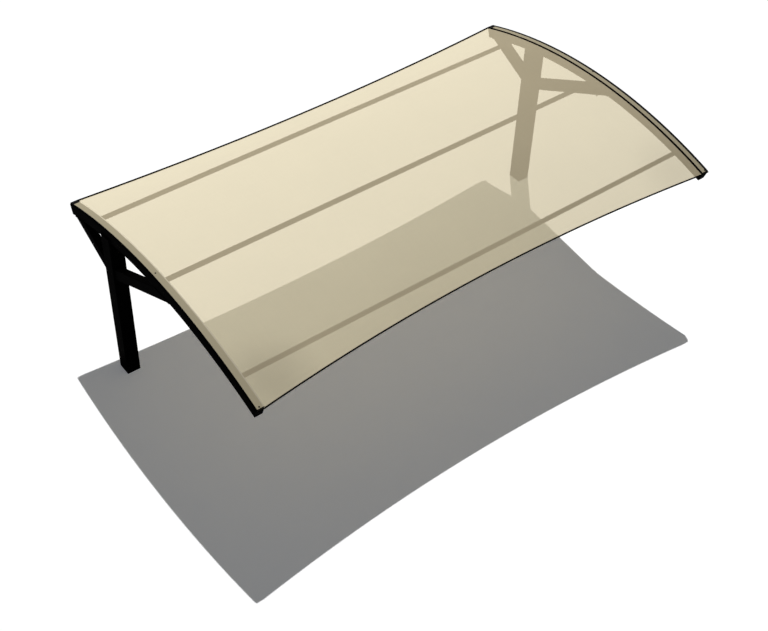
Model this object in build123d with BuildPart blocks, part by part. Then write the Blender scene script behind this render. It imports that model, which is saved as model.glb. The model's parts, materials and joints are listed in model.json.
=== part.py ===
"""Cantilever carport: two braced posts carry arched beams, and a membrane spans between them.

Millimetres. X runs along the length from the left frame to the right frame, -Y is the open
front and +Z is up. The origin is the centre of the left post's foot.
"""

import os
from math import cos, hypot, radians, sin, sqrt

from build123d import *

os.makedirs("parts", exist_ok=True)

# Posts
POST_SPACING = 6420
POST_WIDTH = 180
POST_DEPTH = 200
POST_WALL = 6
POST_CORNER = 14
SADDLE_DEPTH = 40  # of the slot in the post's top that the beam lies in
FOOT_PLATE = 12

# Beams and braces share one rectangular tube
TUBE_WIDTH = 100
TUBE_DEPTH = 140
TUBE_WALL = 5
TUBE_CORNER = 10
BEAM_INSET = 20  # from the post's outer face to the beam's outer face
WELD_GAP = 0.3

# Arch of the beams, measured on their top faces
CROWN_HEIGHT = 2360
ARCH_RADIUS = 6100
ARCH_CENTRE_Y = -1042
BACK_SWEEP = 18.5
FRONT_SWEEP = 19.1
CAP_THICKNESS = 4
CAP_SPIGOT = 15
CAP_CLEARANCE = 0.5

# Braces: their angle to the ground, and how far below the crown the lower face meets the post
BACK_BRACE_ANGLE = 28.2
BACK_BRACE_DROP = 788
FRONT_BRACE_ANGLE = 26.2
FRONT_BRACE_DROP = 780

# Roof membrane, its clamp bars and its edge cables
MEMBRANE_THICKNESS = 3
BEDDING_GAP = 0.3
BACK_BOW = 130
FRONT_BOW = 203
ROOF_OVERHANG = 6  # of the membrane past the beam's end caps' seats
CLAMP_MARGIN = 12
CLAMP_THICKNESS = 10
CABLE_DIAMETER = 12
CABLE_GAP = 0.3
LOFT_STATIONS = 7

# Purlins
PURLIN_SIZE = 45
PURLIN_WALL = 3
PURLIN_CORNER = 5
PURLIN_GAP = 0.8  # under the membrane at mid-length
PURLIN_YS = {"back": 318, "middle": -1165, "front": -2609}

# Screws through the clamp bars, and bolts through the braces
SCREW_DIAMETER = 8
SCREW_HEAD = 16
SCREW_HEAD_HEIGHT = 5
SCREW_HEAD_TAPER_ANGLE = 20
SCREW_END_DISTANCE = 24  # from the beam's end, along its top
SCREW_REACH = 6  # below the inside of the beam's top wall
BOLT_DIAMETER = 16
BOLT_HEAD_FLATS = 24
BOLT_HEAD_HEIGHT = 10
WASHER_DIAMETER = 34
WASHER_THICKNESS = 3
BOLT_REACH = 20  # past the inside of the beam's lower wall
HOLE_CLEARANCE = 1
BACK_BOLT_FROM_TIP = 195
FRONT_BOLT_FROM_TIP = 245

# Places worked out from the sizes above
ARCH_CENTRE = Vector(0, ARCH_CENTRE_Y, CROWN_HEIGHT - ARCH_RADIUS)
UNDERSIDE_RADIUS = ARCH_RADIUS - TUBE_DEPTH
BEAM_X = BEAM_INSET + TUBE_WIDTH / 2 - POST_WIDTH / 2
BEAM_INNER_X = BEAM_X + TUBE_WIDTH / 2
CLAMP_OUTER_X = BEAM_X - TUBE_WIDTH / 2 + CLAMP_MARGIN
ROOF_RADIUS = ARCH_RADIUS + BEDDING_GAP + MEMBRANE_THICKNESS
CLAMP_RADIUS = ROOF_RADIUS + BEDDING_GAP
SCREW_LENGTH = CLAMP_RADIUS + CLAMP_THICKNESS - ARCH_RADIUS + TUBE_WALL + SCREW_REACH
MIRROR_PLANE = Plane.YZ.offset(POST_SPACING / 2)
SPAN = POST_SPACING - 2 * BEAM_INNER_X


def radial(angle):
    """Unit vector away from the arch's centre, at an angle from the crown toward the front."""
    return Vector(0, -sin(radians(angle)), cos(radians(angle)))


def toward_front(angle):
    """Unit vector along the arch toward the front."""
    return Vector(0, -cos(radians(angle)), -sin(radians(angle)))


def on_arch(x, radius, angle):
    return ARCH_CENTRE + radial(angle) * radius + Vector(x, 0, 0)


def arch_profile_plane(x, radius, angle):
    """Plane across the arch, with its own Y pointing outward."""
    return Plane(on_arch(x, radius, angle), x_dir=(1, 0, 0), z_dir=-toward_front(angle))


def distance_to_arch(point, direction, radius):
    """Length from a point under the arch to a radius of the arch, along a direction."""
    offset = point - ARCH_CENTRE
    along = offset.Y * direction.Y + offset.Z * direction.Z
    outside = offset.Y**2 + offset.Z**2 - radius**2
    return sqrt(along**2 - outside) - along


def inside_arch(radius):
    """Solid of everything nearer than a radius to the arch's axis."""
    with BuildPart() as cylinder:
        with BuildSketch(Plane.YZ.offset(-POST_SPACING / 2)):
            with Locations((ARCH_CENTRE.Y, ARCH_CENTRE.Z)):
                Circle(radius)
        extrude(amount=POST_SPACING)
    return cylinder.part


def save(part, name):
    part.label = name
    export_step(part, f"parts/{name}.step")


def mirrored(part):
    """The same part on the right frame."""
    with BuildPart() as other:
        mirror(part, about=MIRROR_PLANE)
    return other.part


def save_both(part, name):
    """Writes a left piece and its mirror image."""
    save(part, f"left_{name}")
    save(mirrored(part), f"right_{name}")


def beam_slot(margin):
    """Cutter over the beam's underside, wider than the beam by a margin on each side."""
    with BuildPart() as cutter:
        with Locations((BEAM_X, 0, CROWN_HEIGHT / 2)):
            Box(TUBE_WIDTH + 2 * margin, 2 * POST_DEPTH, CROWN_HEIGHT)
        add(inside_arch(UNDERSIDE_RADIUS - margin), mode=Mode.SUBTRACT)
    return cutter.part


def post():
    """Tube post with a closed top, whose saddle holds the beam's underside."""
    top = CROWN_HEIGHT
    outer_slot = beam_slot(WELD_GAP)
    inner_slot = beam_slot(WELD_GAP + POST_WALL)
    with BuildPart() as bore:
        with BuildSketch():
            RectangleRounded(
                POST_WIDTH - 2 * POST_WALL, POST_DEPTH - 2 * POST_WALL, POST_CORNER - POST_WALL
            )
        extrude(amount=top)
        add(inside_arch(UNDERSIDE_RADIUS + SADDLE_DEPTH - POST_WALL), mode=Mode.INTERSECT)
        add(inner_slot, mode=Mode.SUBTRACT)
    with BuildPart() as tube:
        with BuildSketch():
            RectangleRounded(POST_WIDTH, POST_DEPTH, POST_CORNER)
        extrude(amount=top)
        add(inside_arch(UNDERSIDE_RADIUS + SADDLE_DEPTH), mode=Mode.INTERSECT)
        add(outer_slot, mode=Mode.SUBTRACT)
        add(bore.part, mode=Mode.SUBTRACT)
    return tube.part


def foot_plate():
    """Plate welded flush inside the post's foot."""
    with BuildPart() as plate:
        with BuildSketch():
            RectangleRounded(
                POST_WIDTH - 2 * POST_WALL - 2 * WELD_GAP,
                POST_DEPTH - 2 * POST_WALL - 2 * WELD_GAP,
                POST_CORNER - POST_WALL,
            )
        extrude(amount=FOOT_PLATE)
    return plate.part


def screw_angles():
    """Back, crown and front places of the clamp screws."""
    inset = SCREW_END_DISTANCE / radians(1) / ARCH_RADIUS
    return (-BACK_SWEEP + inset, 0, FRONT_SWEEP - inset)


def screw_plane(angle, radius=CLAMP_RADIUS + CLAMP_THICKNESS):
    return Plane(on_arch(BEAM_X, radius, angle), x_dir=(1, 0, 0), z_dir=radial(angle))


def screw_holes():
    """Cutter for the clamp screws' clearance holes."""
    with BuildPart() as cutter:
        for angle in screw_angles():
            with BuildSketch(screw_plane(angle)):
                Circle((SCREW_DIAMETER + HOLE_CLEARANCE) / 2)
            extrude(amount=-SCREW_LENGTH)
    return cutter.part


class Brace:
    """A straight tube from the post up to the beam's underside. Side is 1 at the back, -1 in front."""

    def __init__(self, side, angle, drop, bolt_from_tip):
        self.side = side
        self.foot = Vector(BEAM_X, side * POST_DEPTH / 2, CROWN_HEIGHT - drop)
        self.along = Vector(0, side * cos(radians(angle)), sin(radians(angle)))
        self.up = Vector(0, -side * sin(radians(angle)), cos(radians(angle)))
        self.tip = distance_to_arch(self.foot, self.along, UNDERSIDE_RADIUS)
        self.bolt_place = self.foot + self.along * (self.tip - bolt_from_tip)
        self.bolt_plane = Plane(self.bolt_place, x_dir=(1, 0, 0), z_dir=-self.up)
        self.bolt_length = (
            distance_to_arch(self.bolt_place, self.up, UNDERSIDE_RADIUS) + TUBE_WALL + BOLT_REACH
        )

    def bolt_hole(self):
        """Cutter for the bolt's clearance hole."""
        with BuildPart() as cutter:
            with BuildSketch(self.bolt_plane):
                Circle((BOLT_DIAMETER + HOLE_CLEARANCE) / 2)
            extrude(amount=-self.bolt_length)
        return cutter.part

    def tube(self):
        """Tube coped to the post's face and to the beam's underside."""
        start = self.foot + self.up * (TUBE_DEPTH / 2) - self.along * TUBE_DEPTH
        section = Plane(start, x_dir=(1, 0, 0), z_dir=self.along)
        face = Plane((0, self.side * (POST_DEPTH / 2 + WELD_GAP), 0), z_dir=(0, self.side, 0))
        with BuildPart() as tube:
            with BuildSketch(section):
                RectangleRounded(TUBE_WIDTH, TUBE_DEPTH, TUBE_CORNER)
                RectangleRounded(
                    TUBE_WIDTH - 2 * TUBE_WALL,
                    TUBE_DEPTH - 2 * TUBE_WALL,
                    TUBE_CORNER - TUBE_WALL,
                    mode=Mode.SUBTRACT,
                )
            extrude(amount=self.tip + 2 * TUBE_DEPTH)
            split(bisect_by=face, keep=Keep.TOP)
            add(inside_arch(UNDERSIDE_RADIUS - WELD_GAP), mode=Mode.INTERSECT)
            add(self.bolt_hole(), mode=Mode.SUBTRACT)
        return tube.part

    def bolt(self):
        """Hexagon bolt and washer on the brace's lower face."""
        with BuildPart() as bolt:
            with BuildSketch(self.bolt_plane):
                Circle(WASHER_DIAMETER / 2)
            extrude(amount=WASHER_THICKNESS)
            with BuildSketch(self.bolt_plane.offset(WASHER_THICKNESS)):
                RegularPolygon(BOLT_HEAD_FLATS / 2, 6, major_radius=False)
            extrude(amount=BOLT_HEAD_HEIGHT)
            with BuildSketch(self.bolt_plane):
                Circle(BOLT_DIAMETER / 2)
            extrude(amount=-self.bolt_length)
        return bolt.part


def beam(braces):
    """Tube bent to the arch, with holes for the clamp screws and the braces' bolts."""
    mid_radius = ARCH_RADIUS - TUBE_DEPTH / 2
    with BuildPart() as tube:
        with BuildSketch(arch_profile_plane(BEAM_X, mid_radius, -BACK_SWEEP)):
            RectangleRounded(TUBE_WIDTH, TUBE_DEPTH, TUBE_CORNER)
            RectangleRounded(
                TUBE_WIDTH - 2 * TUBE_WALL,
                TUBE_DEPTH - 2 * TUBE_WALL,
                TUBE_CORNER - TUBE_WALL,
                mode=Mode.SUBTRACT,
            )
        revolve(axis=Axis(ARCH_CENTRE, (1, 0, 0)), revolution_arc=BACK_SWEEP + FRONT_SWEEP)
        add(screw_holes(), mode=Mode.SUBTRACT)
        for brace in braces:
            add(brace.bolt_hole(), mode=Mode.SUBTRACT)
    return tube.part


def end_cap(angle, outward):
    """Plug that closes a beam end. Outward points out of the tube along the arch."""
    place = on_arch(BEAM_X, ARCH_RADIUS - TUBE_DEPTH / 2, angle)
    seat = Plane(place, x_dir=(1, 0, 0), z_dir=outward)
    with BuildPart() as cap:
        with BuildSketch(seat):
            RectangleRounded(TUBE_WIDTH, TUBE_DEPTH, TUBE_CORNER)
        extrude(amount=CAP_THICKNESS)
        with BuildSketch(seat):
            RectangleRounded(
                TUBE_WIDTH - 2 * TUBE_WALL - 2 * CAP_CLEARANCE,
                TUBE_DEPTH - 2 * TUBE_WALL - 2 * CAP_CLEARANCE,
                TUBE_CORNER - TUBE_WALL,
            )
        extrude(amount=-CAP_SPIGOT)
    return cap.part


def clamp_bar():
    """Flat bar bent to the arch, which holds the membrane's margin down on the beam."""
    width = BEAM_INNER_X - CLAMP_OUTER_X
    centre_x = (BEAM_INNER_X + CLAMP_OUTER_X) / 2
    mid_radius = CLAMP_RADIUS + CLAMP_THICKNESS / 2
    with BuildPart() as bar:
        with BuildSketch(arch_profile_plane(centre_x, mid_radius, -BACK_SWEEP)):
            Rectangle(width, CLAMP_THICKNESS)
        revolve(axis=Axis(ARCH_CENTRE, (1, 0, 0)), revolution_arc=BACK_SWEEP + FRONT_SWEEP)
        add(screw_holes(), mode=Mode.SUBTRACT)
    return bar.part


def clamp_screws():
    """Three domed screws through the clamp bar and the membrane into the beam's top wall."""
    with BuildPart() as screws:
        for angle in screw_angles():
            seat = screw_plane(angle)
            with BuildSketch(seat):
                Circle(SCREW_HEAD / 2)
            extrude(amount=SCREW_HEAD_HEIGHT, taper=SCREW_HEAD_TAPER_ANGLE)
            with BuildSketch(seat):
                Circle(SCREW_DIAMETER / 2)
            extrude(amount=-SCREW_LENGTH)
    return screws.part


def bow_share(x):
    """Share of the full bow that a free edge has at X: 0 at the beams, 1 at mid-length."""
    along = (x - BEAM_INNER_X) / SPAN
    return 4 * along * (1 - along)


def roof_ends(share, extra=0):
    """Back and front ends of the roof's upper curve across the frames, in Y and Z."""
    overhang = (ROOF_OVERHANG + extra) / radians(1) / ROOF_RADIUS
    back = on_arch(0, ROOF_RADIUS, -BACK_SWEEP - overhang)
    front = on_arch(0, ROOF_RADIUS, FRONT_SWEEP + overhang)
    return (back.Y - BACK_BOW * share, back.Z), (front.Y + FRONT_BOW * share, front.Z)


def roof_circle(share):
    """Centre, radius and end angles of the roof's upper curve where the edges have bowed in."""
    back, front = roof_ends(share)
    flat_back, flat_front = roof_ends(0)
    flat_half_chord = hypot(flat_back[0] - flat_front[0], flat_back[1] - flat_front[1]) / 2
    rise = ROOF_RADIUS - sqrt(ROOF_RADIUS**2 - flat_half_chord**2)
    chord = Vector(back[0] - front[0], back[1] - front[1])
    radius = (chord.length**2 / 4 + rise**2) / (2 * rise)
    normal = Vector(-chord.Y, chord.X).normalized()
    middle = Vector((back[0] + front[0]) / 2, (back[1] + front[1]) / 2)
    centre = middle - normal * (radius - rise)
    return centre, radius, back, front


def roof_section(x, share):
    """The membrane's section across the frames at X, a band between two arcs."""
    centre, radius, back, front = roof_circle(share)
    inner = 1 - MEMBRANE_THICKNESS / radius
    back_inner = centre + (Vector(*back) - centre) * inner
    front_inner = centre + (Vector(*front) - centre) * inner
    crown = centre + Vector(0, radius)
    crown_inner = centre + Vector(0, radius * inner)
    with BuildSketch(Plane.YZ.offset(x)) as section:
        with BuildLine():
            ThreePointArc(back, crown, front)
            Line(front, front_inner)
            ThreePointArc(front_inner, crown_inner, back_inner)
            Line(back_inner, back)
        make_face()
    return section.sketch.face()


def membrane():
    """Sheet whose margins lie on the beams and whose free edges bow inward between them."""
    stations = [BEAM_INNER_X + SPAN * i / (LOFT_STATIONS - 1) for i in range(LOFT_STATIONS)]
    margin = BEAM_INNER_X - CLAMP_OUTER_X
    left_holes = screw_holes()
    right_holes = mirrored(left_holes)
    with BuildPart() as sheet:
        loft(sections=[roof_section(x, bow_share(x)) for x in stations])
        extrude(roof_section(CLAMP_OUTER_X, 0), amount=margin)
        extrude(roof_section(stations[-1], 0), amount=margin)
        add(left_holes, mode=Mode.SUBTRACT)
        add(right_holes, mode=Mode.SUBTRACT)
    return sheet.part


def edge_cable(end):
    """Cable along a free edge of the membrane. End is 0 for the back edge, 1 for the front."""
    reach = CABLE_DIAMETER / 2 + CABLE_GAP
    places = []
    for x in (BEAM_INNER_X, POST_SPACING / 2, POST_SPACING - BEAM_INNER_X):
        y, z = roof_ends(bow_share(x), reach)[end]
        places.append(Vector(x, y, z - MEMBRANE_THICKNESS / 2))
    along_beam = Vector(BEAM_INNER_X - CLAMP_OUTER_X, 0, 0)
    with BuildPart() as cable:
        with BuildLine() as path:
            Line(places[0] - along_beam, places[0])
            ThreePointArc(*places)
            Line(places[-1], places[-1] + along_beam)
        with BuildSketch(Plane(places[0] - along_beam, x_dir=(0, 1, 0), z_dir=(1, 0, 0))):
            Circle(CABLE_DIAMETER / 2)
        sweep(path=path.wires()[0])
    return cable.part


def purlin(y):
    """Straight tube between the beams, its top just under the membrane at mid-length."""
    centre, radius, _, _ = roof_circle(1)
    under = radius - MEMBRANE_THICKNESS - PURLIN_GAP
    rise = sqrt(under**2 - (y - centre.X) ** 2)
    outward = Vector(0, (y - centre.X) / under, rise / under)
    top = Vector(BEAM_INNER_X + WELD_GAP, y, centre.Y + rise)
    section = Plane(top - outward * (PURLIN_SIZE / 2), x_dir=outward, z_dir=(1, 0, 0))
    with BuildPart() as tube:
        with BuildSketch(section):
            RectangleRounded(PURLIN_SIZE, PURLIN_SIZE, PURLIN_CORNER)
            RectangleRounded(
                PURLIN_SIZE - 2 * PURLIN_WALL,
                PURLIN_SIZE - 2 * PURLIN_WALL,
                PURLIN_CORNER - PURLIN_WALL,
                mode=Mode.SUBTRACT,
            )
        extrude(amount=SPAN - 2 * WELD_GAP)
    return tube.part


back_brace = Brace(1, BACK_BRACE_ANGLE, BACK_BRACE_DROP, BACK_BOLT_FROM_TIP)
front_brace = Brace(-1, FRONT_BRACE_ANGLE, FRONT_BRACE_DROP, FRONT_BOLT_FROM_TIP)

save_both(post(), "post")
save_both(foot_plate(), "post_foot")
save_both(back_brace.tube(), "back_brace")
save_both(front_brace.tube(), "front_brace")
save_both(back_brace.bolt(), "back_brace_bolt")
save_both(front_brace.bolt(), "front_brace_bolt")
save_both(beam((back_brace, front_brace)), "arched_beam")
save_both(end_cap(-BACK_SWEEP, -toward_front(-BACK_SWEEP)), "beam_back_cap")
save_both(end_cap(FRONT_SWEEP, toward_front(FRONT_SWEEP)), "beam_front_cap")
save_both(clamp_bar(), "clamp_bar")
save_both(clamp_screws(), "clamp_screws")
for name, y in PURLIN_YS.items():
    save(purlin(y), f"{name}_purlin")
save(membrane(), "roof_membrane")
save(edge_cable(0), "back_edge_cable")
save(edge_cable(1), "front_edge_cable")
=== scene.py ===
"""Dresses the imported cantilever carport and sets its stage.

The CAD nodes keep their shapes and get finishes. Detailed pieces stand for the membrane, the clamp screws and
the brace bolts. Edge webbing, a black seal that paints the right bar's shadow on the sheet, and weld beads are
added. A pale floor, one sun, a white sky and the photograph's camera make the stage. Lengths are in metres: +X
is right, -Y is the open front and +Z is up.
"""

import json
from math import atan2, cos, pi, radians, sin, sqrt, tau

import bmesh
import bpy
from mathutils import Matrix, Vector


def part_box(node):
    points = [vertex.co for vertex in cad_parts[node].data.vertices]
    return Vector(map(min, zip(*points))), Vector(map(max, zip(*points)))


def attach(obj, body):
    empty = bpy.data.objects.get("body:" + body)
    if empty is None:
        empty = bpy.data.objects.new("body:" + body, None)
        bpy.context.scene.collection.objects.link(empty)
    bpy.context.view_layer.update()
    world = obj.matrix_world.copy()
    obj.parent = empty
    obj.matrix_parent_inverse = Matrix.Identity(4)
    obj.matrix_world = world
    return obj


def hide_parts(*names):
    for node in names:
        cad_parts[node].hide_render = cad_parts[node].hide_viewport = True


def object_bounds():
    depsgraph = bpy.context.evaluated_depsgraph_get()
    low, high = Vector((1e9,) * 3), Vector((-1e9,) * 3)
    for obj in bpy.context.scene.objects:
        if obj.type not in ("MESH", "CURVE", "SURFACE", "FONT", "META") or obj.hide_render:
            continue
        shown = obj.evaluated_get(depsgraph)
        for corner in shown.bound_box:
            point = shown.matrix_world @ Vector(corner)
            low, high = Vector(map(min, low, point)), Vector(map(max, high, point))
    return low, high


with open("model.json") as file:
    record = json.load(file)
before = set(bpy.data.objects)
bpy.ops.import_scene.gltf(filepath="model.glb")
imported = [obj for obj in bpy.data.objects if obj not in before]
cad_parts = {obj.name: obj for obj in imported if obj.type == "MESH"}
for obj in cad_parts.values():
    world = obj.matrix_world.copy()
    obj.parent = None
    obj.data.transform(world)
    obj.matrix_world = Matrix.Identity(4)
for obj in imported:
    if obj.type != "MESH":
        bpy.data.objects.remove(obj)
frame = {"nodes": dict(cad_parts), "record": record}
cad_lowest, cad_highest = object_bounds()
nodes = frame["nodes"]
SIDES = ("left", "right")
EDGES = ("back", "front")

# Camera, as solved from the photograph, in metres, degrees and pixels
PHOTO_WIDTH = 768
PHOTO_HEIGHT = 631
CAMERA_PLACE = Vector((-4.628, -10.534, 12.067))
CAMERA_AZIMUTH = -35.963
CAMERA_ELEVATION = 42.643
CAMERA_ROLL = 0.115
FOCAL_PIXELS = 1328.8
CENTRE_PIXEL_X = 327.9
CENTRE_PIXEL_Y = 264.8
SENSOR_WIDTH = 36  # millimetres

# Light. The shadow of a point one metre up falls this far along X and Y.
SHADOW_PER_METRE = (-0.2751, -0.3404)
SUN_STRENGTH = 2.95
SUN_ANGLE = 0.4
SKY_STRENGTH = 0.04

# Floor: its colour and its own faint light, as seen straight and as seen through the sheet
FLOOR_SIZE = 90
FLOOR_ALBEDO = (0.96, 0.96, 0.96)
FLOOR_LIFT = 0.172
FLOOR_LIFT_COLOUR = (0.92, 0.955, 1.0)
FLOOR_ALBEDO_THROUGH = (0.755, 0.717, 0.722)
FLOOR_LIFT_THROUGH = 0.374
FLOOR_LIFT_COLOUR_THROUGH = (0.95, 1.0, 0.992)

# Finishes. A pair holds the two linear colours that a finish wanders between.
PAINT_COLOURS = ((0.0003, 0.0003, 0.00035), (0.0009, 0.0009, 0.00095))
PAINT_DUST_COLOUR = (0.0045, 0.0042, 0.0036)
PAINT_DUST_SHARE = 0.35
PAINT_DUST_SPAN = (0.5, 0.95)  # dust grows as the normal's Z goes from the first to the second
FASTENER_COLOURS = ((0.0012, 0.0012, 0.0013), (0.004, 0.0038, 0.0036))
CAP_COLOURS = ((0.0015, 0.0015, 0.0015), (0.003, 0.003, 0.0028))
CABLE_COLOURS = ((0.001, 0.001, 0.001), (0.0025, 0.0024, 0.0022))
NOISE_SPAN = (0.3, 0.7)  # where most values of a noise lie

# How often a streak or thread changes along each axis, per metre
BRUSH_GRAIN = (900.0, 14.0, 14.0)
WARP_GRAIN = (2.0, 420.0, 420.0)
WEFT_GRAIN = (420.0, 2.0, 2.0)

# Clamp bars: sand-coloured tops with black rubber sides, whose black also paints the shade on the sides, and
# painted shade toward the front
CLAMP_COLOURS = ((0.4, 0.353, 0.243), (0.44, 0.388, 0.267))
CLAMP_STREAK_COLOUR = (0.34, 0.3, 0.207)
CLAMP_STREAK_SHARE = 0.25
CLAMP_STREAK_SPAN = (0.35, 0.65)
# Painted shade: the bars' tops darken toward the front by this factor
CLAMP_FRONT_PAINTED_SHADE = 0.84
CLAMP_TOP_SPAN = (0.68, 0.72)  # a side turns into the top as the normal's Z goes from the first to the second
RUBBER_AND_SIDE_SHADE_COLOUR = (0.0015, 0.0015, 0.0015)

# Black margins on top of the clamp bars, as wide as the photo's lines, and the left bar's inner welt, pale at
# the back and darker toward the front as painted shadow
LEFT_BAR_MARGIN = 0.004
RIGHT_BAR_MARGIN = 0.033
BAR_BACK_MARGIN = 0.085
BAR_FRONT_MARGIN = 0.007
WELT_WIDTH = 0.012
# Painted shadow: like the sheet over the sunlit floor at the back and over its shadow at the front
WELT_COLOURS_WITH_PAINTED_SHADOW = ((0.8, 0.715, 0.535), (0.41, 0.37, 0.275))  # at the back and at the front

# Roof sheet
SHEET_COLOUR = (0.748, 0.642, 0.432)
SHEET_DARKER = 0.93
SHEET_LIGHTER = 1.05
SHEET_THREAD_SHARE = 0.2
SHEET_THREAD_SPAN = (0.35, 0.7)
SHEET_SEEN_THROUGH = (1.0, 0.965, 0.79)
SHEET_OPACITY = 0.6
SHEET_OPACITY_SPREAD = 0.02
SHEET_GLOW = 0.012
# Painted shade: the sheet's colour, and what shows through it, darken toward the front edge by these factors
SHEET_FRONT_PAINTED_SHADE = 0.88
SHEET_FRONT_PAINTED_SHADE_THROUGH = 0.88
SHEET_CELLS_ALONG = 96
SHEET_CELLS_ACROSS = 64
SHEET_SIZE_CELLS = 200  # between the sections that its flat size is worked out from

# Painted shade: soft grey darkening of the sheet near its front corners
CORNER_INSET = 0.37  # from the roof's end, along X
CORNER_Y = -2.82
CORNER_REACH = 0.68
CORNER_WANDER = 0.1
LEFT_CORNER_PAINTED_SHADE = 0.8
RIGHT_CORNER_PAINTED_SHADE = 0.91

# Black rubber seal on the sheet along the right bar's inner side only, where it paints the bar's shadow on the
# sheet
SHADOW_SEAL_WIDTH = 0.02
SHADOW_SEAL_HEIGHT = 0.005
SHADOW_SEAL_GAP = 0.0005
SHADOW_SEAL_CHAMFER = SHADOW_SEAL_HEIGHT / 3

# Webbing over and under the sheet's free edges and their cables. A leaf's section is given by distances inward
# from the cable's middle and heights from the sheet's middle. Back and front webbing differ in width only.
WEBBING_WIDTHS = {"back": 0.036, "front": 0.012}
LEAF_OUTSIDE = ((-0.0005, 0.0069), (0.003, 0.0064), (0.008, 0.0036), (0.011, 0.0027))
LEAF_INSIDE = ((0.011, 0.0018), (0.0075, 0.0026), (0.0025, 0.0057), (-0.0005, 0.00615))
LEAF_END_HEIGHTS = (0.0026, 0.0018)
CABLE_OFFSET = 0.0063  # from the sheet's edge out to the cable's middle
HALF_SHEET = 0.0015
WEBBING_START = 0.0012  # from the beam's side
TRIM_CELLS = 160

# Weld beads
BEAD_RADIUS = 0.006
BEAD_STEP = 0.0027
BEAD_RIPPLE = 3  # steps in a ripple
BEAD_RIPPLE_SHARE = 0.13
BEAD_SIDES = 8
ARC_CELLS = 12

# Fasteners. Each row of a profile has a height over the face that the fastener sits on, a radius and, for a
# hexagon, its half width.
ROUND_SIDES = 48
SCREW_SHANK = 0.004
SCREW_SPACING = radians(1)  # less than the turn between two screws, and more than a screw spans
SCREW_PROFILE = (
    # washer
    (0.0, SCREW_SHANK), (0.0, 0.0095), (0.0002, 0.0097), (0.0011, 0.0097), (0.0014, 0.0095), (0.0014, 0.0078),
    # button head
    (0.0018, 0.0078), (0.0028, 0.0073), (0.0038, 0.0062), (0.0045, 0.0049), (0.0047, 0.0042),
    # hexagon socket
    (0.0047, 0.0029, 0.0025), (0.0022, 0.0029, 0.0025),
)
STUD_RADIUS = 0.008
CAD_HEAD_HEIGHT = 0.013
BOLT_PROFILE = (
    # washer
    (0.0, STUD_RADIUS), (0.0, 0.0166), (0.0004, 0.017), (0.0026, 0.017), (0.003, 0.0166),
    # nut
    (0.003, 0.0122, 0.012), (0.0042, 0.0139, 0.012), (0.0148, 0.0139, 0.012), (0.016, 0.0122, 0.012),
    # lock nut
    (0.0168, 0.0136, 0.0118), (0.0238, 0.0136, 0.0118), (0.025, 0.012, 0.0118), (0.025, STUD_RADIUS),
)
THREAD_START = 0.025
THREAD_END = 0.033
THREAD_PITCH = 0.002
THREAD_ROOT = 0.0071
TIP_HEIGHT = 0.0008
TIP_RADIUS = 0.006

# How near a place has to be to count as on a face, on the roof's end or on a bolt's end, how near the solved
# radius comes, and the decimals to which places are rounded to find the ones that a CAD mesh repeats
FACE_NEAR = 0.001
ROOF_END_NEAR = 1e-4
BOLT_END_NEAR = 0.002
RADIUS_NEAR = 1e-6
PLACE_DECIMALS = 5


def add_node(tree, kind, inputs=None, **settings):
    """Adds a shader node, with its settings, and with input sockets set or linked."""
    made = tree.nodes.new(kind)
    for key, value in settings.items():
        setattr(made, key, value)
    for key, value in (inputs or {}).items():
        if isinstance(value, bpy.types.NodeSocket):
            tree.links.new(value, made.inputs[key])
        else:
            made.inputs[key].default_value = value
    return made


def new_material(name):
    """An empty node material, its tree and the place that its textures are laid out by."""
    made = bpy.data.materials.new(name)
    made.use_nodes = True
    tree = made.node_tree
    tree.nodes.clear()
    return made, tree, add_node(tree, "ShaderNodeTexCoord").outputs["Object"]


def output(tree, shader):
    add_node(tree, "ShaderNodeOutputMaterial", {"Surface": shader})


def surface(tree, colour, roughness, specular, normal):
    """An opaque surface."""
    made = add_node(
        tree,
        "ShaderNodeBsdfPrincipled",
        {"Base Color": colour, "Roughness": roughness, "Specular IOR Level": specular, "Normal": normal},
    )
    return made.outputs[0]


def noise(tree, vector, scale, detail=3.0):
    made = add_node(tree, "ShaderNodeTexNoise", {"Vector": vector, "Scale": scale, "Detail": detail})
    return made.outputs["Fac"]


def ranged(tree, value, low, high, from_low=0.0, from_high=1.0, **settings):
    """A value mapped to a range from another one, clamped."""
    inputs = {0: value, 1: from_low, 2: from_high, 3: low, 4: high}
    return add_node(tree, "ShaderNodeMapRange", inputs, **settings).outputs[0]


def blend_colours(tree, factor, first, second):
    """A colour between two linear colours."""
    made = add_node(tree, "ShaderNodeMix", data_type="RGBA")
    tree.links.new(factor, made.inputs[0])
    for index, colour in ((6, first), (7, second)):
        if isinstance(colour, bpy.types.NodeSocket):
            tree.links.new(colour, made.inputs[index])
        else:
            made.inputs[index].default_value = (*colour, 1)
    return made.outputs[2]


def stretched(tree, vector, scale):
    """Coordinates stretched by a scale along each axis."""
    return add_node(tree, "ShaderNodeMapping", {"Vector": vector, "Scale": scale}).outputs["Vector"]


def bump(tree, height, strength, distance):
    """A normal that follows a height."""
    inputs = {"Height": height, "Strength": strength, "Distance": distance}
    return add_node(tree, "ShaderNodeBump", inputs).outputs["Normal"]


def maths(tree, operation, first, second=0.0, third=0.0):
    made = add_node(tree, "ShaderNodeMath", {0: first, 1: second, 2: third}, operation=operation)
    return made.outputs[0]


def scaled(tree, colour, factor):
    """A colour multiplied by a value."""
    return add_node(tree, "ShaderNodeVectorMath", {0: colour, "Scale": factor}, operation="SCALE").outputs[0]


def axes_of(tree, vector):
    """The X, Y and Z sockets of a vector."""
    return add_node(tree, "ShaderNodeSeparateXYZ", {0: vector}).outputs


def facing_up(tree):
    """1 on a level face that looks up, and 0 on an upright one."""
    return axes_of(tree, add_node(tree, "ShaderNodeNewGeometry").outputs["Normal"])["Z"]


def front_share(tree, place):
    """0 at the roof's back edge and 1 at its front edge."""
    return ranged(tree, axes_of(tree, place)["Y"], 0.0, 1.0, cad_highest.y, cad_lowest.y)


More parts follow.
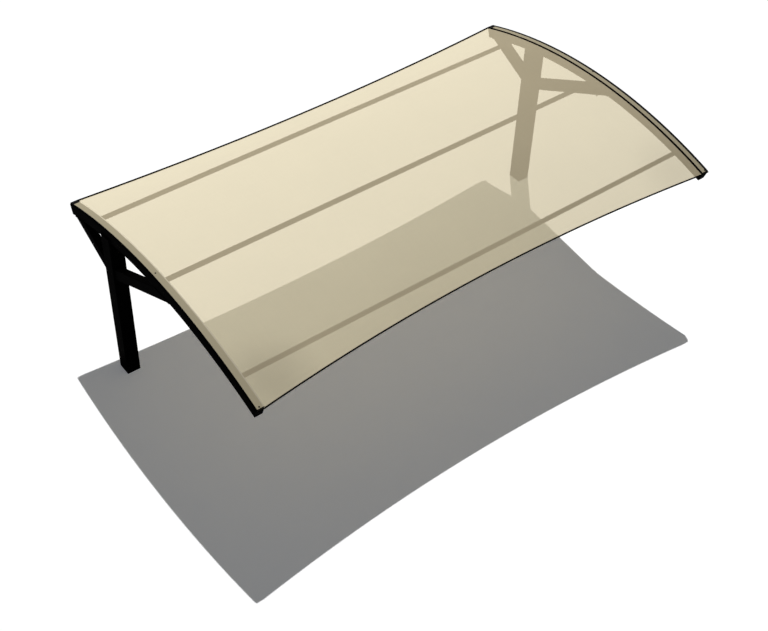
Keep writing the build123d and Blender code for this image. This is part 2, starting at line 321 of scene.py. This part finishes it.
def corner_share(tree, place):
    """1 at a soft spot of painted shade near each front corner of the sheet, and 0 away from it."""
    middle = (cad_lowest.x + cad_highest.x) / 2
    axes = axes_of(tree, place)
    from_middle = maths(tree, "ABSOLUTE", maths(tree, "SUBTRACT", axes["X"], middle))
    folded = add_node(tree, "ShaderNodeCombineXYZ", {0: from_middle, 1: axes["Y"]})
    spot = (middle - cad_lowest.x - CORNER_INSET, CORNER_Y, 0)
    distance = add_node(tree, "ShaderNodeVectorMath", {0: folded.outputs[0], 1: spot}, operation="DISTANCE")
    wander = ranged(tree, noise(tree, place, scale=3.0), -CORNER_WANDER, CORNER_WANDER)
    wandering = maths(tree, "ADD", distance.outputs["Value"], wander)
    return ranged(tree, wandering, 1.0, 0.0, 0.0, CORNER_REACH, interpolation_type="SMOOTHSTEP")


def powder_coat():
    """Satin black powder coat with a fine orange-peel skin and a little dust on top."""
    made, tree, place = new_material("powder_coat")
    patches = noise(tree, place, scale=3.5, detail=4.0)
    dust = ranged(tree, facing_up(tree), 0.0, 1.0, *PAINT_DUST_SPAN)
    dust = maths(tree, "MULTIPLY", maths(tree, "MULTIPLY", dust, patches), PAINT_DUST_SHARE)
    colour = blend_colours(tree, dust, blend_colours(tree, patches, *PAINT_COLOURS), PAINT_DUST_COLOUR)
    skin = bump(tree, noise(tree, place, scale=900.0, detail=2.0), strength=0.25, distance=0.0004)
    roughness = ranged(tree, patches, 0.5, 0.64, *NOISE_SPAN)
    output(tree, surface(tree, colour, roughness, specular=0.001, normal=skin))
    return made


def fastener_finish():
    """Black zinc-nickel coated steel."""
    made, tree, place = new_material("fastener_finish")
    patches = noise(tree, place, scale=60.0, detail=4.0)
    colour = blend_colours(tree, patches, *FASTENER_COLOURS)
    skin = bump(tree, noise(tree, place, scale=1500.0, detail=2.0), strength=0.15, distance=0.0002)
    roughness = ranged(tree, patches, 0.45, 0.6, *NOISE_SPAN)
    output(tree, surface(tree, colour, roughness, specular=0.01, normal=skin))
    return made


def cap_plastic():
    """Moulded black plastic with a fine grain."""
    made, tree, place = new_material("cap_plastic")
    patches = noise(tree, place, scale=12.0)
    colour = blend_colours(tree, patches, *CAP_COLOURS)
    cells = add_node(tree, "ShaderNodeTexVoronoi", {"Vector": place, "Scale": 700.0})
    grain = bump(tree, cells.outputs["Distance"], strength=0.3, distance=0.0003)
    roughness = ranged(tree, patches, 0.6, 0.72, *NOISE_SPAN)
    output(tree, surface(tree, colour, roughness, specular=0.002, normal=grain))
    return made


def clamp_finish():
    """Sand-coloured brushed anodising on top, darkened toward the front as painted shade, black rubber margins
    and sides whose black is partly painted shade, and a welt on the left bar with painted shadow toward the
    front.
    """
    made, tree, place = new_material("clamp_finish")
    axes = axes_of(tree, place)
    toward_front = front_share(tree, place)
    left_bar, right_bar = (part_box(f"{side}_clamp_bar") for side in SIDES)

    brushed = noise(tree, stretched(tree, place, BRUSH_GRAIN), scale=1.0)
    sand = blend_colours(tree, noise(tree, place, scale=2.2, detail=4.0), *CLAMP_COLOURS)
    streaks = ranged(tree, brushed, 0.0, CLAMP_STREAK_SHARE, *CLAMP_STREAK_SPAN)
    colour = blend_colours(tree, streaks, sand, CLAMP_STREAK_COLOUR)
    # Painted shade: darker toward the front
    colour = scaled(tree, colour, ranged(tree, toward_front, 1.0, CLAMP_FRONT_PAINTED_SHADE))
    welt_middle = left_bar[1].x - WELT_WIDTH / 2
    welt = maths(tree, "COMPARE", axes["X"], welt_middle, WELT_WIDTH / 2)
    # Painted shadow: the welt is pale like the sheet over the sunlit floor at the back, and dark like the sheet
    # over its shadow at the front
    colour = blend_colours(tree, welt, colour, blend_colours(tree, toward_front, *WELT_COLOURS_WITH_PAINTED_SHADOW))

    # Black rubber on the margins and on every side; on the sides its black also paints their shade
    top = ranged(tree, facing_up(tree), 0.0, 1.0, *CLAMP_TOP_SPAN)
    for axis, operation, limit in (
        ("X", "LESS_THAN", left_bar[0].x + LEFT_BAR_MARGIN),
        ("X", "GREATER_THAN", right_bar[1].x - RIGHT_BAR_MARGIN),
        ("Y", "GREATER_THAN", left_bar[1].y - BAR_BACK_MARGIN),
        ("Y", "LESS_THAN", left_bar[0].y + BAR_FRONT_MARGIN),
    ):
        top = maths(tree, "SUBTRACT", top, maths(tree, operation, axes[axis], limit))
    colour = blend_colours(tree, maths(tree, "MAXIMUM", top, 0.0), RUBBER_AND_SIDE_SHADE_COLOUR, colour)

    lines = bump(tree, brushed, strength=0.2, distance=0.0002)
    roughness = ranged(tree, brushed, 0.55, 0.68, *NOISE_SPAN)
    output(tree, surface(tree, colour, roughness, specular=0.02, normal=lines))
    return made


def cable_cover():
    """Black sheath with the lay of the strands showing faintly."""
    made, tree, place = new_material("cable_cover")
    patches = noise(tree, place, scale=30.0)
    colour = blend_colours(tree, patches, *CABLE_COLOURS)
    lay = add_node(
        tree,
        "ShaderNodeTexWave",
        {"Vector": place, "Scale": 55.0, "Distortion": 0.6, "Detail": 1.0},
        wave_type="BANDS",
        bands_direction="DIAGONAL",
    )
    strands = bump(tree, lay.outputs["Fac"], strength=0.35, distance=0.0006)
    roughness = ranged(tree, patches, 0.6, 0.75, *NOISE_SPAN)
    output(tree, surface(tree, colour, roughness, specular=0.002, normal=strands))
    return made


def membrane_fabric():
    """Translucent coated cloth: partly seen through, partly lit in front and partly glowing from behind."""
    made, tree, place = new_material("membrane_fabric")
    toward_front = front_share(tree, place)
    warp = noise(tree, stretched(tree, place, WARP_GRAIN), scale=1.0, detail=2.0)
    weft = noise(tree, stretched(tree, place, WEFT_GRAIN), scale=1.0, detail=2.0)
    threads = maths(tree, "MULTIPLY", maths(tree, "ADD", warp, weft), 0.5)

    darker = tuple(SHEET_DARKER * channel for channel in SHEET_COLOUR)
    lighter = tuple(SHEET_LIGHTER * channel for channel in SHEET_COLOUR)
    tone = blend_colours(tree, noise(tree, place, scale=0.9, detail=4.0), darker, lighter)
    between_threads = ranged(tree, threads, 0.0, SHEET_THREAD_SHARE, *SHEET_THREAD_SPAN)
    colour = blend_colours(tree, between_threads, tone, darker)
    # Painted shade: soft darker spots near both front corners, deeper at the left one
    deepest_corner_painted_shade = ranged(
        tree, axes_of(tree, place)["X"], LEFT_CORNER_PAINTED_SHADE, RIGHT_CORNER_PAINTED_SHADE, cad_lowest.x, cad_highest.x
    )
    corner_painted_shade = ranged(tree, corner_share(tree, place), 1.0, deepest_corner_painted_shade)
    # Painted shade: the cloth's colour darkens toward the front edge and at the front corners
    painted_shade = maths(tree, "MULTIPLY", ranged(tree, toward_front, 1.0, SHEET_FRONT_PAINTED_SHADE), corner_painted_shade)
    colour = scaled(tree, colour, painted_shade)

    weave = bump(tree, threads, strength=0.25, distance=0.0006)
    roughness = ranged(tree, threads, 0.55, 0.68, *NOISE_SPAN)
    front = surface(tree, colour, roughness, specular=0.1, normal=weave)
    glow = add_node(tree, "ShaderNodeBsdfTranslucent", {"Color": colour, "Normal": weave})
    lit = add_node(tree, "ShaderNodeMixShader", {0: SHEET_GLOW, 1: front, 2: glow.outputs[0]})
    # Painted shade on what shows through the cloth: darker toward the front edge and at the front corners
    clearness_with_painted_shade = maths(tree, "MULTIPLY", ranged(tree, toward_front, 1.0, SHEET_FRONT_PAINTED_SHADE_THROUGH), corner_painted_shade)
    seen_through = scaled(tree, SHEET_SEEN_THROUGH, clearness_with_painted_shade)
    clear = add_node(tree, "ShaderNodeBsdfTransparent", {"Color": seen_through})

    # The cloth blocks the sun fully, so that its shadow on the floor is even
    for_shadow = add_node(tree, "ShaderNodeLightPath").outputs["Is Shadow Ray"]
    opacity_ends = (SHEET_OPACITY - SHEET_OPACITY_SPREAD, SHEET_OPACITY + SHEET_OPACITY_SPREAD)
    opacity = maths(tree, "MAXIMUM", ranged(tree, threads, *opacity_ends, *NOISE_SPAN), for_shadow)
    mixed = add_node(tree, "ShaderNodeMixShader", {0: opacity, 1: clear.outputs[0], 2: lit.outputs[0]})
    output(tree, mixed.outputs[0])
    return made


def floor_finish():
    """Plain pale floor that keeps the shadow. The shadow looks paler where it is seen through the sheet."""
    made, tree, _ = new_material("floor_finish")
    path = add_node(tree, "ShaderNodeLightPath").outputs
    seen = path["Is Camera Ray"]
    behind_sheet = maths(tree, "GREATER_THAN", path["Transparent Depth"], 0.5)
    through = maths(tree, "MULTIPLY", seen, behind_sheet)
    albedo = blend_colours(tree, through, FLOOR_ALBEDO, FLOOR_ALBEDO_THROUGH)
    diffuse = add_node(tree, "ShaderNodeBsdfDiffuse", {"Color": albedo})
    tint = blend_colours(tree, through, FLOOR_LIFT_COLOUR, FLOOR_LIFT_COLOUR_THROUGH)
    lift = maths(tree, "MULTIPLY", seen, ranged(tree, through, FLOOR_LIFT, FLOOR_LIFT_THROUGH))
    glow = add_node(tree, "ShaderNodeEmission", {"Color": tint, "Strength": lift})
    both = add_node(tree, "ShaderNodeAddShader", {0: diffuse.outputs[0], 1: glow.outputs[0]})
    output(tree, both.outputs[0])
    return made


FINISHES = {
    "painted_steel": powder_coat(),
    "bolt_steel": fastener_finish(),
    "black_plastic": cap_plastic(),
    "clamp_aluminium": clamp_finish(),
    "edge_cable_cover": cable_cover(),
    "membrane_fabric": membrane_fabric(),
}


def evenly(first, last, cells):
    """Evenly spaced values from the first to the last."""
    return [first + (last - first) * i / cells for i in range(cells + 1)]


def places_of(node):
    return [vertex.co for vertex in nodes[node].data.vertices]


class Roof:
    """The saddle of the roof's upper face, read from the CAD sheet's corners and its edge cables' boxes.

    Its section at each X is an arc, and all these arcs have one rise. Round the centre of the beams' own arc, a
    turn is an angle from straight up toward the front, and a reach is a distance.
    """

    def __init__(self):
        self.low, self.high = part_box("roof_membrane")
        corners = [place for place in places_of("roof_membrane") if place.x < self.low.x + ROOF_END_NEAR]
        back = max(corners, key=lambda place: place.y)
        front = min(corners, key=lambda place: place.y)
        self.back_end = Vector((back.y, back.z))
        self.front_end = Vector((front.y, front.z))
        self.crown = self.high.z
        self.back_bow, self.front_bow = (self.bow_of(f"{edge}_edge_cable") for edge in EDGES)
        self.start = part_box("left_arched_beam")[1].x
        self.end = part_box("right_arched_beam")[0].x
        chord = self.back_end - self.front_end
        radius = self.radius_to_crown()
        self.rise = radius - sqrt(radius**2 - chord.length_squared / 4)
        self.centre, self.radius, _, _ = self.arc(self.start)

    def bow_of(self, cable):
        """How far an edge cable bows inward between its ends."""
        low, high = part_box(cable)
        return (high.y - low.y) - (high.z - low.z)

    def radius_to_crown(self):
        """Radius of the arc through both ends of a beam whose highest point is the crown."""
        back_drop = self.crown - self.back_end.y
        front_drop = self.crown - self.front_end.y
        depth = self.back_end.x - self.front_end.x
        low, high = depth / 2, depth * 10
        while high - low > RADIUS_NEAR:
            radius = (low + high) / 2
            if sum(sqrt(drop * (2 * radius - drop)) for drop in (back_drop, front_drop)) < depth:
                low = radius
            else:
                high = radius
        return radius

    def bow_share(self, x):
        """Share of the full bow that a free edge has at X."""
        along = min(max((x - self.start) / (self.end - self.start), 0), 1)
        return 4 * along * (1 - along)

    def arc(self, x):
        """Centre, radius and ends of the roof's section at X, as vectors in Y and Z."""
        share = self.bow_share(x)
        back = self.back_end - Vector((self.back_bow * share, 0))
        front = self.front_end + Vector((self.front_bow * share, 0))
        chord = back - front
        radius = (chord.length_squared / 4 + self.rise**2) / (2 * self.rise)
        outward = Vector((-chord.y, chord.x)).normalized()
        return (back + front) / 2 - outward * (radius - self.rise), radius, back, front

    def point(self, x, across):
        """A point of the roof: across is 0 at the back edge and 1 at the front edge."""
        centre, radius, back, front = self.arc(x)
        first, last = ((end - centre).angle_signed(Vector((0, 1))) for end in (back, front))
        turn = first + (last - first) * across
        return Vector((x, centre.x - sin(turn) * radius, centre.y + cos(turn) * radius))

    def arc_length(self, x):
        centre, radius, back, front = self.arc(x)
        return radius * (back - centre).angle(front - centre)

    def place(self, x, turn, reach):
        """The place at a turn and a reach."""
        return Vector((x, self.centre.x - sin(turn) * reach, self.centre.y + cos(turn) * reach))

    def turn_of(self, place):
        return atan2(self.centre.x - place.y, place.z - self.centre.y)

    def reach_of(self, place):
        return (Vector((place.y, place.z)) - self.centre).length


roof = Roof()


def new_piece(name, slot, build, *details, smooth=False):
    """A piece of the carport on its one body, with a mesh that a function fills."""
    shape = bmesh.new()
    build(shape, *details)
    bmesh.ops.recalc_face_normals(shape, faces=shape.faces)
    mesh = bpy.data.meshes.new(name)
    shape.to_mesh(mesh)
    shape.free()
    mesh.materials.append(FINISHES[slot])
    for face in mesh.polygons:
        face.use_smooth = smooth
    made = bpy.data.objects.new(name, mesh)
    bpy.context.scene.collection.objects.link(made)
    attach(made, "root")
    return made


def sweep(shape, rings, closed=False):
    """A tube through rings of places, with its ends capped unless it is closed."""
    rings = [[shape.verts.new(place) for place in ring] for ring in rings]
    pairs = list(zip(rings, rings[1:]))
    if closed:
        pairs.append((rings[-1], rings[0]))
    for first, second in pairs:
        for i in range(len(first)):
            shape.faces.new((first[i - 1], first[i], second[i], second[i - 1]))
    if not closed:
        shape.faces.new(rings[0])
        shape.faces.new(rings[-1])


def turned(shape, base, axis, profile):
    """A solid with a fastener's profile round an axis."""
    across = axis.orthogonal().normalized()
    upright = axis.cross(across)
    rings = []
    for height, radius, *flat in profile:
        ring = []
        for k in range(ROUND_SIDES):
            turn = tau * k / ROUND_SIDES
            reach = min(radius, flat[0] / cos(turn % (pi / 3) - pi / 6)) if flat else radius
            ring.append(base + axis * height + (across * cos(turn) + upright * sin(turn)) * reach)
        rings.append(ring)
    sweep(shape, rings)


def roof_sheet(shape):
    """The whole membrane, as one sheet without thickness."""
    rows = [
        [shape.verts.new(roof.point(x, across)) for across in evenly(0, 1, SHEET_CELLS_ACROSS)]
        for x in evenly(roof.low.x, roof.high.x, SHEET_CELLS_ALONG)
    ]
    for first, second in zip(rows, rows[1:]):
        for i in range(SHEET_CELLS_ACROSS):
            shape.faces.new((first[i], first[i + 1], second[i + 1], second[i]))


def webbing(shape, edge):
    """Two leaves of webbing, over and under a free edge, each lying against its cable and the sheet."""
    ends = [(WEBBING_WIDTHS[edge], height) for height in LEAF_END_HEIGHTS]
    leaf = (*LEAF_OUTSIDE, *ends, *LEAF_INSIDE)
    over, under = [], []
    for x in evenly(roof.start + WEBBING_START, roof.end - WEBBING_START, TRIM_CELLS):
        centre, _, back, front = roof.arc(x)
        end = back if edge == "back" else front
        up = (end - centre).normalized()
        inward = Vector((-up.y, up.x)) if edge == "back" else Vector((up.y, -up.x))
        middle = end - inward * CABLE_OFFSET - up * HALF_SHEET
        for rings, direction in ((over, 1), (under, -1)):
            places = (middle + inward * along + up * (direction * height) for along, height in leaf)
            rings.append([Vector((x, place.x, place.y)) for place in places])
    sweep(shape, over)
    sweep(shape, under)


def shadow_seal(shape):
    """The black strip on the sheet along the right clamp bar's inner side, which paints the bar's shadow on the
    sheet.
    """
    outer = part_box("right_clamp_bar")[0].x - SHADOW_SEAL_GAP
    inner = outer - SHADOW_SEAL_WIDTH
    section = (
        (outer, SHADOW_SEAL_GAP), (outer, SHADOW_SEAL_HEIGHT), (inner + SHADOW_SEAL_CHAMFER, SHADOW_SEAL_HEIGHT),
        (inner, SHADOW_SEAL_HEIGHT - SHADOW_SEAL_CHAMFER), (inner, SHADOW_SEAL_GAP),
    )
    _, _, back, front = roof.arc(roof.start)
    turns = evenly(*(roof.turn_of(Vector((0, *end))) for end in (back, front)), TRIM_CELLS)
    sweep(shape, [[roof.place(x, turn, roof.radius + height) for x, height in section] for turn in turns])


def bead(shape, corners):
    """A rippled weld bead along a closed path through corners."""
    path = []
    for first, second in zip(corners, corners[1:] + corners[:1]):
        steps = max(round((second - first).length / BEAD_STEP), 1)
        path += [first.lerp(second, i / steps) for i in range(steps)]
    rings = []
    side = None
    for i, place in enumerate(path):
        ahead = (path[(i + 1) % len(path)] - path[i - 1]).normalized()
        side = ahead.orthogonal() if side is None else side
        side = (side - ahead * side.dot(ahead)).normalized()
        other = ahead.cross(side)
        reach = BEAD_RADIUS * (1 + BEAD_RIPPLE_SHARE * cos(tau * i / BEAD_RIPPLE))
        turns = (tau * k / BEAD_SIDES for k in range(BEAD_SIDES))
        rings.append([place + (side * cos(turn) + other * sin(turn)) * reach for turn in turns])
    sweep(shape, rings, closed=True)


def rectangle(firsts, seconds):
    """Corners, in order, of the rectangle that holds all values of two measures."""
    low, high = min(firsts), max(firsts)
    bottom, top = min(seconds), max(seconds)
    return (low, bottom), (high, bottom), (high, top), (low, top)


def frame_welds(shape, side):
    """Beads round the feet and tips of both braces and where the post's saddle holds the beam."""
    underside = min(roof.reach_of(place) for place in places_of(f"{side}_arched_beam"))
    beam_sides = [corner.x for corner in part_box(f"{side}_arched_beam")]
    post_low, post_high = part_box(f"{side}_post")
    for brace, face in (("back", post_high.y), ("front", post_low.y)):
        places = places_of(f"{side}_{brace}_brace")
        foot = [place.z for place in places if abs(place.y - face) < FACE_NEAR]
        bead(shape, [Vector((x, face, z)) for x, z in rectangle(beam_sides, foot)])
        tip = [roof.turn_of(place) for place in places if roof.reach_of(place) > underside - FACE_NEAR]
        turns = evenly(min(tip), max(tip), ARC_CELLS)
        near, far = ([roof.place(x, turn, underside) for turn in turns] for x in beam_sides)
        bead(shape, near + far[::-1])
    corners = []
    for y, order in ((post_low.y, 1), (post_high.y, -1)):
        turn = roof.turn_of(Vector((0, y, post_high.z)))
        bottom = roof.place(0, turn, underside).z
        first, second = beam_sides[::order]
        corners += [
            Vector((first, y, post_high.z)), Vector((first, y, bottom)),
            Vector((second, y, bottom)), Vector((second, y, post_high.z)),
        ]
    bead(shape, corners)


def purlin_welds(shape):
    """Beads round both ends of each purlin."""
    for purlin in ("back", "middle", "front"):
        places = places_of(f"{purlin}_purlin")
        for end in (min(place.x for place in places), max(place.x for place in places)):
            ring = [place for place in places if abs(place.x - end) < FACE_NEAR]
            turns = [roof.turn_of(place) for place in ring]
            outline = rectangle(turns, [roof.reach_of(place) for place in ring])
            bead(shape, [roof.place(end, turn, reach) for turn, reach in outline])


def clamp_screws(shape, side):
    """Three button-head screws with hexagon sockets, on washers."""
    places = sorted(places_of(f"{side}_clamp_screws"), key=roof.turn_of)
    screws = [[places[0]]]
    for place in places[1:]:
        if roof.turn_of(place) - roof.turn_of(screws[-1][-1]) > SCREW_SPACING:
            screws.append([])
        screws[-1].append(place)
    low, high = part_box(f"{side}_clamp_screws")
    face = max(roof.reach_of(place) for place in places_of(f"{side}_clamp_bar"))
    tip = min(roof.reach_of(place) for place in places)
    for screw in screws:
        turn = (roof.turn_of(screw[0]) + roof.turn_of(screw[-1])) / 2
        base = roof.place((low.x + high.x) / 2, turn, face)
        axis = (base - roof.place(base.x, turn, 0)).normalized()
        turned(shape, base, axis, ((tip - face, SCREW_SHANK), *SCREW_PROFILE))


def brace_bolt(shape, side, brace):
    """A stud through the brace with a washer, two nuts and its threaded end."""
    places = places_of(f"{side}_{brace}_brace_bolt")
    middle = sum(places, Vector()) / len(places)
    tip = max(places, key=lambda place: (place - middle).length)
    rough_axis = (middle - tip).normalized()
    heights = [(place - tip).dot(rough_axis) for place in places]
    ends = []
    for limit, sign in ((min(heights), 1), (max(heights), -1)):
        face = {
            tuple(round(value, PLACE_DECIMALS) for value in place)
            for place, height in zip(places, heights)
            if (height - limit) * sign < BOLT_END_NEAR
        }
        ends.append(sum((Vector(place) for place in face), Vector()) / len(face))
    inner_end, head = ends
    axis = (head - inner_end).normalized()
    base = head - axis * CAD_HEAD_HEIGHT
    thread = []
    for i in range(round((THREAD_END - THREAD_START) / THREAD_PITCH)):
        height = THREAD_START + THREAD_PITCH * i
        thread += [(height + THREAD_PITCH * 0.25, THREAD_ROOT), (height + THREAD_PITCH * 0.75, STUD_RADIUS)]
    thread += [(THREAD_END, THREAD_ROOT), (THREAD_END + TIP_HEIGHT, TIP_RADIUS)]
    turned(shape, base, axis, ((-(base - inner_end).length, STUD_RADIUS), *BOLT_PROFILE, *thread))


def finish_nodes():
    """Gives each CAD node the finish of its slot."""
    for part in frame["record"]["subparts"]:
        for holder in nodes[part["node"]].material_slots:
            holder.material = FINISHES[part["material_slot"]]


def make_sheet():
    """The roof sheet, in place of the CAD membrane, and its width at each section along X."""
    sheet = new_piece("roof_sheet", "membrane_fabric", roof_sheet, smooth=True)
    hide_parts("roof_membrane")
    widths = [roof.arc_length(x) for x in evenly(roof.low.x, roof.high.x, SHEET_SIZE_CELLS)]


def make_details():
    """Webbing, the seal that paints the right bar's shadow, weld beads and fasteners."""
    for edge in EDGES:
        new_piece(f"{edge}_edge_webbing", "edge_cable_cover", webbing, edge)
    # Painted shadow: a black strip along the right bar's inner side
    new_piece("right_bar_shadow_seal", "black_plastic", shadow_seal)
    new_piece("purlin_welds", "painted_steel", purlin_welds, smooth=True)
    for side in SIDES:
        new_piece(f"{side}_frame_welds", "painted_steel", frame_welds, side, smooth=True)
        screws = new_piece(f"{side}_detailed_screws", "bolt_steel", clamp_screws, side)
        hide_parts(f"{side}_clamp_screws")
        for brace in EDGES:
            bolt = new_piece(f"{side}_{brace}_detailed_bolt", "bolt_steel", brace_bolt, side, brace)
            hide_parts(f"{side}_{brace}_brace_bolt")


def make_floor():
    shape = bmesh.new()
    bmesh.ops.create_grid(shape, x_segments=1, y_segments=1, size=FLOOR_SIZE / 2)
    mesh = bpy.data.meshes.new("floor")
    shape.to_mesh(mesh)
    shape.free()
    mesh.materials.append(floor_finish())
    floor = bpy.data.objects.new("floor", mesh)
    floor.location.z = cad_lowest.z
    bpy.context.scene.collection.objects.link(floor)


def make_sky():
    """White where it is seen or mirrored, and a soft fill for everything else."""
    world = bpy.data.worlds.new("sky")
    bpy.context.scene.world = world
    world.use_nodes = True
    tree = world.node_tree
    tree.nodes.clear()
    path = add_node(tree, "ShaderNodeLightPath").outputs
    seen = maths(tree, "MAXIMUM", path["Is Camera Ray"], path["Is Glossy Ray"])
    seen = maths(tree, "MAXIMUM", seen, path["Is Transmission Ray"])
    strength = ranged(tree, seen, SKY_STRENGTH, 1.0)
    background = add_node(tree, "ShaderNodeBackground", {"Color": (1, 1, 1, 1), "Strength": strength})
    add_node(tree, "ShaderNodeOutputWorld", {"Surface": background.outputs[0]})


def make_sun():
    light = bpy.data.lights.new("sun", "SUN")
    light.energy = SUN_STRENGTH
    light.angle = radians(SUN_ANGLE)
    sun = bpy.data.objects.new("sun", light)
    travel = Vector((*SHADOW_PER_METRE, -1))
    sun.rotation_mode = "QUATERNION"
    sun.rotation_quaternion = travel.to_track_quat("-Z", "Y")
    bpy.context.scene.collection.objects.link(sun)


def make_camera():
    """The photograph's own view."""
    azimuth, elevation, roll = (radians(angle) for angle in (CAMERA_AZIMUTH, CAMERA_ELEVATION, CAMERA_ROLL))
    forward = Vector((-sin(azimuth) * cos(elevation), cos(azimuth) * cos(elevation), -sin(elevation)))
    level = forward.cross(Vector((0, 0, 1))).normalized()
    upright = level.cross(forward)
    across = level * cos(roll) + upright * sin(roll)
    up = upright * cos(roll) - level * sin(roll)
    lens = bpy.data.cameras.new("camera")
    lens.sensor_width = SENSOR_WIDTH
    lens.lens = FOCAL_PIXELS * SENSOR_WIDTH / PHOTO_WIDTH
    lens.shift_x = (PHOTO_WIDTH / 2 - CENTRE_PIXEL_X) / PHOTO_WIDTH
    lens.shift_y = (CENTRE_PIXEL_Y - PHOTO_HEIGHT / 2) / PHOTO_WIDTH
    camera = bpy.data.objects.new("camera", lens)
    facing = Matrix((across, up, -forward)).transposed().to_4x4()
    camera.matrix_world = Matrix.Translation(CAMERA_PLACE) @ facing
    bpy.context.scene.collection.objects.link(camera)
    bpy.context.scene.camera = camera


finish_nodes()
make_sheet()
make_details()
make_floor()
make_sky()
make_sun()
make_camera()
bpy.context.scene.view_settings.view_transform = "Standard"
